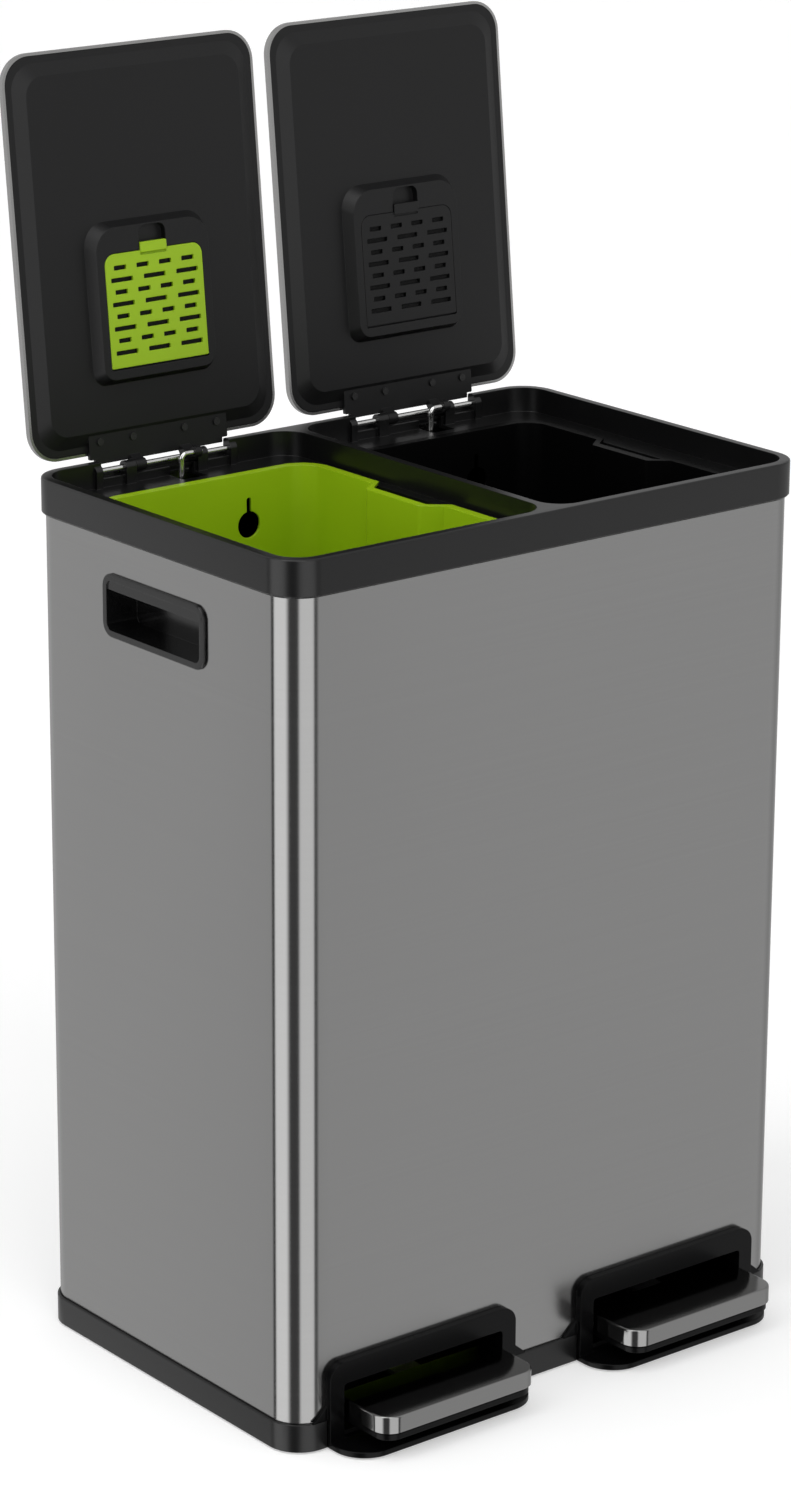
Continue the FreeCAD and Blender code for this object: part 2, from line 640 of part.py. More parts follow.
def pedal_core(centre):
    """The moulded core under the tread, with a waist line and two hollows."""
    inset = STEEL + CORE_INSET
    bands = [(CORE_WAIST_HIGH, PEDAL_TOP - STEEL - CORE_INSET, inset),
             (CORE_WAIST_LOW, CORE_WAIST_HIGH, inset + CORE_WAIST_INSET),
             (CORE_LOW, CORE_WAIST_LOW, inset + CORE_FOOT_INSET)]
    pieces = []
    for low, high, draw_in in bands:
        points, radii = pedal_outline(centre, draw_in)
        pieces.append(prism(points, radii, "xy", low, high))
    core = joined(pieces)
    wall = inset + CORE_WAIST_INSET + CORE_WALL
    deck = PEDAL_TOP - STEEL - CORE_INSET - CORE_DECK
    lever_left = centre - LEVER_HALF - CORE_WALL
    lever_right = centre + EYE_X + EYE_THICK + CORE_WALL
    edge = PEDAL_HALF - wall
    for x0, x1 in ((centre - edge, lever_left), (lever_right, centre + edge)):
        core = core.cut(block(x0, PEDAL_FRONT + wall, 0, x1, PEDAL_REAR - CORE_WALL, deck, CORE_WALL))
    return core.cut(lever_strip(centre, LEVER_SLOT_GAP))


def lever_strip(centre, grow):
    """The lever's flat bar at its rest tilt, grown on all sides by the given gap."""
    low = LEVER_PIVOT_Z - LEVER_THICK / 2 - grow
    high = LEVER_PIVOT_Z + LEVER_THICK / 2 + grow
    x0 = centre - LEVER_HALF - grow
    x1 = centre + EYE_X + EYE_THICK + grow
    bar = block(x0, LEVER_FRONT - grow, low, x1, LEVER_STRIP_REAR + grow, high)
    return turned(bar, LEVER_PIVOT_Y, LEVER_PIVOT_Z, LEVER_TILT)


def pedal_lever(centre):
    """The steel lever: flat bar, pivot tube and a slotted eye for the push rod's foot."""
    x0 = centre - LEVER_HALF
    x1 = centre + EYE_X + EYE_THICK
    tube = rod_x(LEVER_TUBE_R, x0, x1, LEVER_PIVOT_Y, LEVER_PIVOT_Z)
    eye_low = LEVER_PIVOT_Z - ROD_R - EYE_DOWN
    eye_high = LEVER_PIVOT_Z + ROD_R + EYE_UP
    plate = prism(rectangle(EYE_FRONT, eye_low - EYE_RIM, LEVER_REAR, eye_high + EYE_RIM), EYE_RIM, "yz",
                  centre + EYE_X, x1)
    window_front = ROD_FORWARD_Y - ROD_R - EYE_SIDE
    window_rear = ROD_CLOSED_Y + ROD_R + EYE_SIDE
    window = prism(rectangle(window_front, eye_low, window_rear, eye_high), ROD_R, "yz",
                   centre + EYE_X - PAST, x1 + PAST)
    plate = turned(plate.cut(window), LEVER_PIVOT_Y, LEVER_PIVOT_Z, LEVER_TILT)
    lever = joined([lever_strip(centre, 0), tube, plate])
    hole = rod_x(LEVER_PIN_R + LEVER_PIN_RUN, x0 - PAST, x1 + PAST, LEVER_PIVOT_Y, LEVER_PIVOT_Z)
    return lever.cut(hole)


def bracket_ends(centre):
    """The outer x of the bracket's two ears."""
    left = centre - LEVER_HALF - BRACKET_GAP - BRACKET_THICK
    right = centre + EYE_X + EYE_THICK + BRACKET_GAP + BRACKET_THICK
    return left, right


def bracket_screw_places(centre):
    """Where the four screws of one lever bracket go through the floor."""
    left, right = bracket_ends(centre)
    out = BRACKET_FOOT / 2
    half = BRACKET_FOOT_HALF - out
    rows = (LEVER_PIVOT_Y - half, LEVER_PIVOT_Y + half)
    return [(x, y) for x in (left - out, right + out) for y in rows]


def lever_bracket(centre):
    """The folded steel bracket that carries the lever's pivot pin."""
    left, right = bracket_ends(centre)
    plate_top = FLOOR_TOP + BRACKET_THICK
    foot = block(left - BRACKET_FOOT, LEVER_PIVOT_Y - BRACKET_FOOT_HALF, FLOOR_TOP,
                 right + BRACKET_FOOT, LEVER_PIVOT_Y + BRACKET_FOOT_HALF, plate_top, BRACKET_THICK)
    half = BRACKET_EAR_HALF
    ear = [(LEVER_PIVOT_Y - half, FLOOR_TOP), (LEVER_PIVOT_Y + half, FLOOR_TOP),
           (LEVER_PIVOT_Y + half, LEVER_PIVOT_Z + half), (LEVER_PIVOT_Y - half, LEVER_PIVOT_Z + half)]
    radii = [0, 0, BRACKET_EAR_ROUND, BRACKET_EAR_ROUND]
    ears = [prism(ear, radii, "yz", x, x + BRACKET_THICK) for x in (left, right - BRACKET_THICK)]
    bracket = joined([foot] + ears)
    bracket = bracket.cut(rod_x(LEVER_PIN_R + LEVER_PIN_RUN, left - PAST, right + PAST, LEVER_PIVOT_Y, LEVER_PIVOT_Z))
    for x, y in bracket_screw_places(centre):
        bracket = bracket.cut(rod_z(SCREW_R + SCREW_CLEAR, x, y, FLOOR_TOP, plate_top))
    return bracket


def bracket_screws():
    """Pan-head screws that hold both lever brackets down to the floor."""
    screws = []
    top = FLOOR_TOP + BRACKET_THICK
    for side in (-1, 1):
        for x, y in bracket_screw_places(side * SIDE_X):
            head = rod_z(SCREW_HEAD_R, x, y, top, top + SCREW_HEAD_H)
            screws.append(head.fuse(rod_z(SCREW_R, x, y, FLOOR_UNDER, top)))
    return Part.makeCompound(screws)


def lever_pin(centre):
    """The lever's pivot pin with a head at each end."""
    left, right = bracket_ends(centre)
    ends = (left - FIT_GAP, right + FIT_GAP)
    pin = rod_x(LEVER_PIN_R, ends[0], ends[1], LEVER_PIVOT_Y, LEVER_PIVOT_Z)
    heads = [rod_x(PIN_HEAD_R, ends[0] - PIN_HEAD_H, ends[0], LEVER_PIVOT_Y, LEVER_PIVOT_Z),
             rod_x(PIN_HEAD_R, ends[1], ends[1] + PIN_HEAD_H, LEVER_PIVOT_Y, LEVER_PIVOT_Z)]
    return joined([pin] + heads)


# ---------------------------------------------------------------- push rods
def push_rod(centre):
    """A steel wire rod, bent over at the top into the crank and at the foot into the lever's eye."""
    x = centre + ROD_X
    foot_end = centre + EYE_X + EYE_THICK + ROD_END_PAST
    top_end = centre + ROD_END_X
    bend = ROD_BEND
    slack = bend * (1 - math.sqrt(0.5))
    low = ROD_FOOT_Z
    high = ROD_TOP_Z

    def at(px, pz):
        return Vector(px, ROD_Y, pz)

    path = Part.Wire([
        Part.LineSegment(at(foot_end, low), at(x + bend, low)).toShape(),
        Part.Arc(at(x + bend, low), at(x + slack, low + slack), at(x, low + bend)).toShape(),
        Part.LineSegment(at(x, low + bend), at(x, high - bend)).toShape(),
        Part.Arc(at(x, high - bend), at(x + slack, high - slack), at(x + bend, high)).toShape(),
        Part.LineSegment(at(x + bend, high), at(top_end, high)).toShape(),
    ])
    ring = Part.Wire(Part.makeCircle(ROD_R, at(foot_end, low), Vector(-1, 0, 0)))
    return path.makePipeShell([ring], True, False)


def rod_guide(centre):
    """A moulded loop on the rear wall that the push rod passes through."""
    x = centre + ROD_X
    front = ROD_FORWARD_Y - ROD_R - GUIDE_CLEAR
    rear = ROD_CLOSED_Y + ROD_R + GUIDE_CLEAR
    wall_face = BODY_Y - STEEL - FIT_GAP / 2
    low = GUIDE_Z - GUIDE_HEIGHT / 2
    high = GUIDE_Z + GUIDE_HEIGHT / 2
    half = ROD_R + GUIDE_CLEAR
    guide = block(x - GUIDE_WIDTH / 2, front - GUIDE_WALL, low, x + GUIDE_WIDTH / 2, wall_face, high, GUIDE_WALL / 2)
    return guide.cut(block(x - half, front, low, x + half, rear, high, ROD_R))


# ---------------------------------------------------------------- lids, drawn closed
def lid_plan(centre, inset, near_extra=0.0):
    """The lid's plan outline in the closed pose, drawn in by inset."""
    half = LID_WIDTH / 2 - inset
    rear = LID_REAR_Y - inset - near_extra
    front = LID_REAR_Y - LID_LENGTH + inset
    return rectangle(centre - half, front, centre + half, rear)


def lid_rect(centre, half, near, far):
    """A rectangle on the lid from near to far along it, in the closed pose."""
    return rectangle(centre - half, LID_REAR_Y - far, centre + half, LID_REAR_Y - near)


def lid_prism(points, radii, outer, inner):
    """A solid on the lid between two depths, counted inwards from its edge plane."""
    return prism(points, radii, "xy", LID_EDGE_Z - inner, LID_EDGE_Z - outer)


def opened(shape):
    """The closed lid's piece, turned up to the open pose."""
    return turned(shape, HINGE_Y, HINGE_Z, -LID_OPEN_ANGLE)


def lid_skin(centre):
    """The pressed steel lid: flat top, rounded edge and an inward hem."""
    top = LID_EDGE_Z + LID_HEIGHT
    outer = prism(lid_plan(centre, 0), LID_CORNER, "xy", LID_EDGE_Z, top)
    outer = outer.makeFillet(LID_ROUND, edges_at(outer, "z", top))
    hem_top = LID_EDGE_Z + HEM_THICK
    inner = prism(lid_plan(centre, STEEL), LID_CORNER - STEEL, "xy", hem_top, top - STEEL)
    inner = inner.makeFillet(LID_ROUND - STEEL, edges_at(inner, "z", top - STEEL))
    mouth = prism(lid_plan(centre, HEM_WIDTH), LID_CORNER - HEM_WIDTH, "xy", LID_EDGE_Z, hem_top)
    return opened(outer.cut(inner).cut(mouth))


def plateau(centre, start, end, outer, inner):
    """The liner's raised middle: a slope from one inset outline to another."""
    return taper(lid_plan(centre, start), LID_CORNER - start / 2, LID_EDGE_Z - outer,
                 lid_plan(centre, end), LID_CORNER - end / 2, LID_EDGE_Z - inner)


def frame_radii():
    """Corner radii of the filter frame: large far from the hinge, small near it."""
    return [FRAME_FAR_CORNER, FRAME_FAR_CORNER, FRAME_NEAR_CORNER, FRAME_NEAR_CORNER]


def lid_screw_places(centre):
    """Where the screws that hold the hinge tab go."""
    return [(centre + turn * x, LID_REAR_Y - LID_SCREW_S) for x in LID_SCREW_X for turn in (-1, 1)]


def knuckle(x0, x1):
    """A hinge knuckle: a ring on the pin with a web up to the tab."""
    ring = rod_x(KNUCKLE_R, x0, x1, HINGE_Y, HINGE_Z)
    tab_end = LID_REAR_Y + TAB_REACH
    rise = math.radians(WEB_REAR_ANGLE)
    web_rear = (HINGE_Y + KNUCKLE_R * math.cos(rise), HINGE_Z + KNUCKLE_R * math.sin(rise))
    web = [(tab_end - WEB_ROOT, LID_EDGE_Z - FIT_GAP), (tab_end, LID_EDGE_Z - FIT_GAP), web_rear, (HINGE_Y, HINGE_Z),
           (HINGE_Y - KNUCKLE_R, HINGE_Z)]
    return ring.fuse(prism(list(reversed(web)), 0, "yz", x0, x1))


def crank(centre):
    """The lifting arm on the right-hand knuckle, with the boss that the push rod hooks into."""
    x0 = centre + KNUCKLE_IN
    x1 = x0 + CRANK_THICK
    angle = math.radians(CRANK_CLOSED_ANGLE)
    along = (-math.cos(angle), math.sin(angle))
    across = (math.sin(angle), math.cos(angle))
    boss_y = HINGE_Y + CRANK_R * along[0]
    boss_z = HINGE_Z + CRANK_R * along[1]
    wide = CRANK_ARM_HALF
    arm = [(HINGE_Y + wide * across[0], HINGE_Z + wide * across[1]),
           (HINGE_Y - wide * across[0], HINGE_Z - wide * across[1]),
           (boss_y - wide * across[0], boss_z - wide * across[1]),
           (boss_y + wide * across[0], boss_z + wide * across[1])]
    pieces = [prism(arm, 0, "yz", x0, x1), rod_x(CRANK_BOSS_R, x0, x1, boss_y, boss_z)]
    return pieces, rod_x(ROD_R + ROD_RUN, x0 - PAST, x1 + PAST, boss_y, boss_z)


def lid_liner(centre):
    """The moulded liner with its plateau, filter frame, hinge tab, knuckles and crank."""
    plate = lid_prism(lid_plan(centre, HEM_WIDTH + FIT_GAP), LID_CORNER - HEM_WIDTH - FIT_GAP, -LINER_THICK, 0)
    rise = plateau(centre, SLOPE_START, SLOPE_END, 0, PLATEAU)
    liner = plate.fuse(rise)
    pocket = plateau(centre, SLOPE_START + LINER_THICK, SLOPE_END + LINER_THICK, -LINER_THICK,
                     PLATEAU - LINER_THICK)
    liner = liner.cut(pocket)
    base = lid_rect(centre, FRAME_BASE_HALF, FRAME_NEAR - FRAME_DRAFT, FRAME_FAR + FRAME_DRAFT)
    face = lid_rect(centre, FRAME_TOP_HALF, FRAME_NEAR, FRAME_FAR)
    seat = PLATEAU - LINER_THICK
    frame = taper(base, frame_radii(), LID_EDGE_Z - seat, face, frame_radii(), LID_EDGE_Z - FRAME_FACE)
    liner = liner.fuse(frame)
    under = FRAME_FACE - COVER_THICK
    recess = lid_rect(centre, COVER_HALF + COVER_GAP, COVER_NEAR - COVER_NEAR_GAP, COVER_FAR + COVER_GAP)
    recess_radii = [COVER_CORNER + COVER_GAP, COVER_CORNER + COVER_GAP, COVER_NEAR_CORNER, COVER_NEAR_CORNER]
    liner = liner.cut(lid_prism(recess, recess_radii, under - COVER_LEDGE_DROP, FRAME_FACE))
    hollow = lid_rect(centre, PAD_HALF + PAD_GAP, PAD_NEAR - PAD_GAP, PAD_FAR + PAD_GAP)
    liner = liner.cut(lid_prism(hollow, FRAME_DRAFT, PAD_SEAT, FRAME_FACE))
    latch = lid_rect(centre, LATCH_HALF + COVER_GAP, COVER_FAR - PAST, COVER_FAR + LATCH_LONG + COVER_GAP)
    liner = liner.cut(lid_prism(latch, 0, under - COVER_LEDGE_DROP, FRAME_FACE))
    thumb = lid_rect(centre, LATCH_HALF + COVER_GAP, COVER_FAR + LATCH_LONG, COVER_FAR + LATCH_LONG + SCALLOP_LONG)
    thumb_radii = [SCALLOP_LONG / 2, SCALLOP_LONG / 2, 0, 0]
    liner = liner.cut(lid_prism(thumb, thumb_radii, FRAME_FACE - SCALLOP_DEEP, FRAME_FACE))
    tab_radii = [0, 0, TAB_ROOT_ROUND, TAB_ROOT_ROUND]
    for half, reach in ((TAB_HALF, TAB_STEP), (NOTCH_HALF - 2 * FIT_GAP, TAB_REACH)):
        tab_points = lid_rect(centre, half, -reach, TAB_ROOT)
        liner = liner.fuse(lid_prism(tab_points, tab_radii, FIT_GAP, FIT_GAP + TAB_THICK))
    root = lid_rect(centre, TAB_HALF, HEM_WIDTH + FIT_GAP, TAB_ROOT)
    liner = liner.fuse(lid_prism(root, 0, -LINER_THICK / 2, FIT_GAP + TAB_THICK))
    for turn in (-1, 1):
        x0, x1 = sorted((centre + turn * KNUCKLE_IN, centre + turn * KNUCKLE_OUT))
        liner = liner.fuse(knuckle(x0, x1))
    arm, rod_hole = crank(centre)
    for piece in arm:
        liner = liner.fuse(piece)
    liner = liner.cut(rod_hole)
    reach = HINGE_END
    liner = liner.cut(rod_x(HINGE_PIN_R + HINGE_RUN, centre - reach, centre + reach, HINGE_Y, HINGE_Z))
    pivot_reach = COVER_HALF + COVER_PIVOT_LONG + FIT_GAP
    pivot_y = LID_REAR_Y - COVER_PIVOT_S
    pivot_z = LID_EDGE_Z - COVER_PIVOT_O
    liner = liner.cut(rod_x(COVER_PIVOT_R + COVER_PIVOT_RUN, centre - pivot_reach, centre + pivot_reach,
                            pivot_y, pivot_z))
    for x, y in lid_screw_places(centre):
        liner = liner.cut(rod_z(SCREW_R + SCREW_CLEAR, x, y, LID_EDGE_Z - PLATEAU, LID_EDGE_Z + LINER_THICK))
    return opened(liner.removeSplitter())


def lid_screws(centre):
    """Small pan-head screws through the liner at the hinge tab."""
    under = LID_EDGE_Z - FIT_GAP - TAB_THICK
    screws = []
    for x, y in lid_screw_places(centre):
        head = rod_z(SCREW_HEAD_R, x, y, under - SCREW_HEAD_H, under)
        screws.append(opened(head.fuse(rod_z(SCREW_R, x, y, under, LID_EDGE_Z + LINER_THICK / 2))))
    return Part.makeCompound(screws)


def filter_pad(centre):
    """The odour filter: a flat pad that sits in the liner's hollow."""
    points = lid_rect(centre, PAD_HALF, PAD_NEAR, PAD_FAR)
    return opened(lid_prism(points, FRAME_DRAFT - PAD_GAP, PAD_SEAT, PAD_SEAT + PAD_THICK))


def filter_cover(centre):
    """The slotted cover over the filter, with a latch at its far edge and pivots at its near one."""
    under = FRAME_FACE - COVER_THICK
    plate = lid_prism(lid_rect(centre, COVER_HALF, COVER_NEAR, COVER_FAR),
                      [COVER_CORNER, COVER_CORNER, COVER_NEAR_CORNER, COVER_NEAR_CORNER], under, FRAME_FACE)
    latch = lid_rect(centre, LATCH_HALF, COVER_FAR - LATCH_ROOT, COVER_FAR + LATCH_LONG)
    cover = plate.fuse(lid_prism(latch, [LATCH_ROUND, LATCH_ROUND, 0, 0], under, FRAME_FACE + LATCH_PROUD))
    pivot_y = LID_REAR_Y - COVER_PIVOT_S
    pivot_z = LID_EDGE_Z - COVER_PIVOT_O
    reach = COVER_HALF + COVER_PIVOT_LONG
    for x0, x1 in ((centre - reach, centre - COVER_HALF + PAST), (centre + COVER_HALF - PAST, centre + reach)):
        cover = cover.fuse(rod_x(COVER_PIVOT_R, x0, x1, pivot_y, pivot_z))
    groove = lid_rect(centre, LATCH_HALF, COVER_FAR - GROOVE_NEAR, COVER_FAR - GROOVE_FAR)
    cover = cover.cut(lid_prism(groove, 0, FRAME_FACE - COVER_THICK / 2, FRAME_FACE))
    slots = []
    for row in range(SLOT_ROWS):
        s = SLOT_FIRST + SLOT_PITCH * row
        if row % 2 == 0:
            places = [(LONG_SLOT_PITCH * k, LONG_SLOT) for k in (-1, 0, 1)]
        else:
            places = [(SHORT_SLOT_PITCH * k, SHORT_SLOT) for k in (-1.5, -0.5, 0.5, 1.5)]
        for x, length in places:
            middle = centre + x
            y = LID_REAR_Y - s
            points = rectangle(middle - length / 2, y - SLOT_WIDTH / 2, middle + length / 2, y + SLOT_WIDTH / 2)
            slots.append(lid_prism(points, SLOT_END_ROUND, under, FRAME_FACE))
    return opened(cover.cut(Part.makeCompound(slots)).removeSplitter())


def hinge_pin(centre):
    """The steel rod that a lid turns on."""
    return rod_x(HINGE_PIN_R, centre - HINGE_END, centre + HINGE_END, HINGE_Y, HINGE_Z)


# ---------------------------------------------------------------- buckets
def bucket_plan(centre, half_x, half_y):
    """A bucket outline about the bucket's own middle."""
    return rectangle(centre - half_x, BUCKET_Y - half_y, centre + half_x, BUCKET_Y + half_y)


def finger_recess(wall_x, deep, top):
    """The hollow pressed into a bucket's right-hand wall, fading out downwards."""
    half_in = RECESS_HALF - RECESS_SLANT
    spare = RECESS_SPARE
    points = [(wall_x + spare, BUCKET_Y - RECESS_HALF), (wall_x + spare, BUCKET_Y + RECESS_HALF),
              (wall_x, BUCKET_Y + RECESS_HALF), (wall_x - deep, BUCKET_Y + half_in),
              (wall_x - deep, BUCKET_Y - half_in), (wall_x, BUCKET_Y - RECESS_HALF)]
    radii = [0, 0, 0, RECESS_ROUND, RECESS_ROUND, 0]
    column = prism(points, radii, "xy", top - RECESS_TALL, top + spare)
    keep = [(wall_x + spare, top - RECESS_TALL), (wall_x + spare, top + spare), (wall_x - deep - spare, top + spare),
            (wall_x - deep - spare, top - RECESS_TALL / 2), (wall_x, top - RECESS_TALL)]
    wedge = prism(keep, 0, "xz", BUCKET_Y - RECESS_HALF - spare, BUCKET_Y + RECESS_HALF + spare)
    return column.common(wedge)


def bucket(centre):
    """A lift-out bucket: tapered tub, flange, finger recess and a hole for a bag's spare film."""
    half_x = BUCKET_WIDTH / 2
    half_y = BUCKET_DEPTH / 2
    seat = SHELF_TOP + FIT_GAP / 2
    top = seat + FLANGE_THICK
    wall_x = half_x - BUCKET_FLANGE
    wall_y = half_y - BUCKET_FLANGE
    low_x = wall_x - BUCKET_TAPER
    low_y = wall_y - BUCKET_TAPER
    radius = BUCKET_CORNER - BUCKET_FLANGE
    outer = taper(bucket_plan(centre, low_x, low_y), radius, BUCKET_BOTTOM,
                  bucket_plan(centre, wall_x, wall_y), radius, top)
    outer = outer.cut(finger_recess(centre + wall_x, RECESS_DEEP, top))
    wall = BUCKET_WALL
    floor = BUCKET_BOTTOM + wall
    inner = taper(bucket_plan(centre, low_x - wall, low_y - wall), radius - wall, floor,
                  bucket_plan(centre, wall_x - wall, wall_y - wall), radius - wall, top)
    inner = inner.cut(finger_recess(centre + wall_x - wall, RECESS_DEEP, top))
    rim = block(centre - half_x, BUCKET_Y - half_y, seat, centre + half_x, BUCKET_Y + half_y, top, BUCKET_CORNER)
    rim = rim.cut(finger_recess(centre + half_x, RECESS_DEEP, top))
    tub = outer.fuse(rim).cut(inner)
    hole_x = centre + BAG_HOLE_X
    rear = BUCKET_Y + half_y
    hole = Part.makeCylinder(BAG_HOLE_R, 3 * BUCKET_FLANGE, Vector(hole_x, rear, BAG_HOLE_Z), Vector(0, -1, 0))
    neck = prism(rectangle(hole_x - BAG_SLOT_HALF, BAG_HOLE_Z, hole_x + BAG_SLOT_HALF, BAG_HOLE_Z + BAG_SLOT_LONG),
                 [0, 0, BAG_SLOT_ROUND, BAG_SLOT_ROUND], "xz", rear - 3 * BUCKET_FLANGE, rear)
    return tub.cut(hole).cut(neck).removeSplitter()


# ---------------------------------------------------------------- write every piece
def main():
    """Make every piece and write its file."""
    save("body_shell", body_shell())
    save("top_rim", top_rim())
    save("base_tray", base_tray())
    save("rubber_feet", rubber_feet())
    save("bracket_screws", bracket_screws())
    for name, side in (("left", -1), ("right", 1)):
        centre = side * SIDE_X
        save("handle_insert_" + name, handle_insert(side))
        save("pedal_bezel_" + name, pedal_bezel(centre))
        save("pedal_cover_" + name, pedal_cover(centre))
        save("pedal_core_" + name, pedal_core(centre))
        save("pedal_lever_" + name, pedal_lever(centre))
        save("lever_bracket_" + name, lever_bracket(centre))
        save("lever_pin_" + name, lever_pin(centre))
        save("push_rod_" + name, push_rod(centre))
        save("rod_guide_" + name, rod_guide(centre))
        save("hinge_pin_" + name, hinge_pin(centre))
        save("lid_skin_" + name, lid_skin(centre))
        save("lid_liner_" + name, lid_liner(centre))
        save("lid_screws_" + name, lid_screws(centre))
        save("filter_pad_" + name, filter_pad(centre))
        save("filter_cover_" + name, filter_cover(centre))
        save("bucket_" + name, bucket(side * BUCKET_X))


main()
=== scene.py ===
# %% [markdown]
# # A double step bin
# The real bin is a folded steel wrap between a moulded rim and a moulded base. Two
# lids stand open behind two buckets, and a pedal opens each lid through a wire rod.
# The CAD model is the fixed frame. Each of its pieces sits exactly where it belongs,
# so this lesson adds finishes, light, a floor and a camera, and moves nothing.

# %% Load the frame
import math
import bpy
import numpy as np
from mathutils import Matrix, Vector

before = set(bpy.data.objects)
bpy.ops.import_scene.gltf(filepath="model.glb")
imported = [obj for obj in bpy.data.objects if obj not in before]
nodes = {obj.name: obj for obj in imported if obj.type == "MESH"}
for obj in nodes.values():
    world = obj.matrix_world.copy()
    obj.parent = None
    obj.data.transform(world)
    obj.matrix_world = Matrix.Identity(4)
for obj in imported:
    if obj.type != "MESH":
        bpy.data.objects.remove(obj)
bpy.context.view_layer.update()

# %% [markdown]
# The camera comes first, because every later choice is judged through it. The lens
# and the viewpoint were worked out from straight edges of the rim, body and base.
# A small shift frames the bin as in the photograph, which was cropped off centre.

# %% The camera
MM = 0.001
PHOTO_WIDE, PHOTO_HIGH = 791, 1500
FOCAL_PIXELS = 4524.0
AXIS_PIXEL = (322.6, 735.9)
EYE = (-1906.4 * MM, -2350.7 * MM, 1393.1 * MM)
AZIMUTH, ELEVATION = math.radians(-37.76), math.radians(17.555)

eye_data = bpy.data.cameras.new("eye")
eye_data.sensor_width = 36.0
eye_data.lens = FOCAL_PIXELS / PHOTO_HIGH * eye_data.sensor_width
eye_data.shift_x = (PHOTO_WIDE / 2 - AXIS_PIXEL[0]) / PHOTO_HIGH
eye_data.shift_y = (AXIS_PIXEL[1] - PHOTO_HIGH / 2) / PHOTO_HIGH
eye_data.clip_start, eye_data.clip_end = 0.1, 100.0
eye = bpy.data.objects.new("eye", eye_data)
bpy.context.scene.collection.objects.link(eye)
level = math.cos(ELEVATION)
back = np.array([math.sin(AZIMUTH) * level, -math.cos(AZIMUTH) * level, math.sin(ELEVATION)])
eye.location = EYE
eye.rotation_mode = "QUATERNION"
eye.rotation_quaternion = (-Vector(back)).to_track_quat("-Z", "Y")
bpy.context.scene.camera = eye
print("lens in mm:", round(eye_data.lens, 1))

# %% [markdown]
# Shader maths reads best as plain arithmetic. A Socket wraps one output of a node and
# turns + - * / into Math nodes, also when the number comes first. Every other node
# comes from one method that takes its type, its settings and its inputs.


# %% Sockets as numbers
class Socket:
    """One node output that can be used in an expression."""

    def __init__(self, tree, output):
        self.tree, self.output = tree, output

    def math(self, operation, other, flip=False):
        """A Math node of two values; flip puts the other value first."""
        pair = (other, self) if flip else (self, other)
        return self.tree.node("ShaderNodeMath", {"operation": operation}, {0: pair[0], 1: pair[1]})

    def __add__(self, other):
        return self.math("ADD", other)

    def __sub__(self, other):
        return self.math("SUBTRACT", other)

    def __rsub__(self, other):
        return self.math("SUBTRACT", other, True)

    def __mul__(self, other):
        return self.math("MULTIPLY", other)

    def __truediv__(self, other):
        return self.math("DIVIDE", other)

    __radd__ = __add__
    __rmul__ = __mul__


class Finish:
    """A material under construction: its node tree, its shader and short ways to add to them."""

    def __init__(self, name, **constants):
        self.material = bpy.data.materials.new(name)
        self.material.use_nodes = True
        self.tree = self.material.node_tree
        self.shader = self.tree.nodes["Principled BSDF"]
        for socket, value in constants.items():
            self.shader.inputs[socket.replace("_", " ")].default_value = value

    def node(self, kind, settings=None, inputs=None, output=0):
        """Adds a node: settings first, then values or links for its inputs."""
        made = self.tree.nodes.new(kind)
        for name, value in (settings or {}).items():
            setattr(made, name, value)
        for name, value in (inputs or {}).items():
            if isinstance(value, Socket):
                self.tree.links.new(value.output, made.inputs[name])
            else:
                made.inputs[name].default_value = value
        return Socket(self, made.outputs[output])

    def feed(self, **sockets):
        """Links sockets to the shader's inputs."""
        for name, value in sockets.items():
            self.tree.links.new(value.output, self.shader.inputs[name.replace("_", " ")])
        return self

    def place(self):
        """Object coordinates, in metres of the row frame."""
        return self.node("ShaderNodeTexCoord", output="Object")

    def stretched(self, scale):
        """Object coordinates scaled per axis: a large number gives fine detail along that axis."""
        inputs = {"Vector": self.place(), "Scale": scale}
        return self.node("ShaderNodeMapping", {"vector_type": "POINT"}, inputs)

    def noise(self, scale, detail=2.0, roughness=0.5, vector=None):
        """Smooth noise around 0.5, with the given number of cells per metre."""
        inputs = {"Vector": vector or self.place(), "Scale": scale, "Detail": detail, "Roughness": roughness}
        return self.node("ShaderNodeTexNoise", None, inputs)

    def tint(self, factor, low, high, base=None):
        """A colour between low, or the colour socket base, and high."""
        mix = self.tree.nodes.new("ShaderNodeMix")
        mix.data_type = "RGBA"
        self.tree.links.new(factor.output, mix.inputs[0])
        if base:
            self.tree.links.new(base.output, mix.inputs[6])
        else:
            mix.inputs[6].default_value = (*low, 1)
        mix.inputs[7].default_value = (*high, 1)
        return Socket(self, mix.outputs[2])

    def bump(self, height, distance, strength=1.0, edge=None):
        """A Normal from a height, with the pattern's depth and the edges' radius in metres."""
        inputs = {"Height": height, "Distance": distance, "Strength": strength}
        if edge:
            inputs["Normal"] = self.node("ShaderNodeBevel", {"samples": 6}, {"Radius": edge})
        return self.node("ShaderNodeBump", None, inputs)


print("socket helpers ready")

# %% [markdown]
# The steel is brushed round the body, so its grain runs level. Fine streaks come from
# noise that is stretched along the sheet and dense across it. Brushed metal also
# smears a reflection across its grain, which an anisotropic shader does on the wrap.
# The lids and treads are smaller pressings of the same sheet, with a smoother shine.


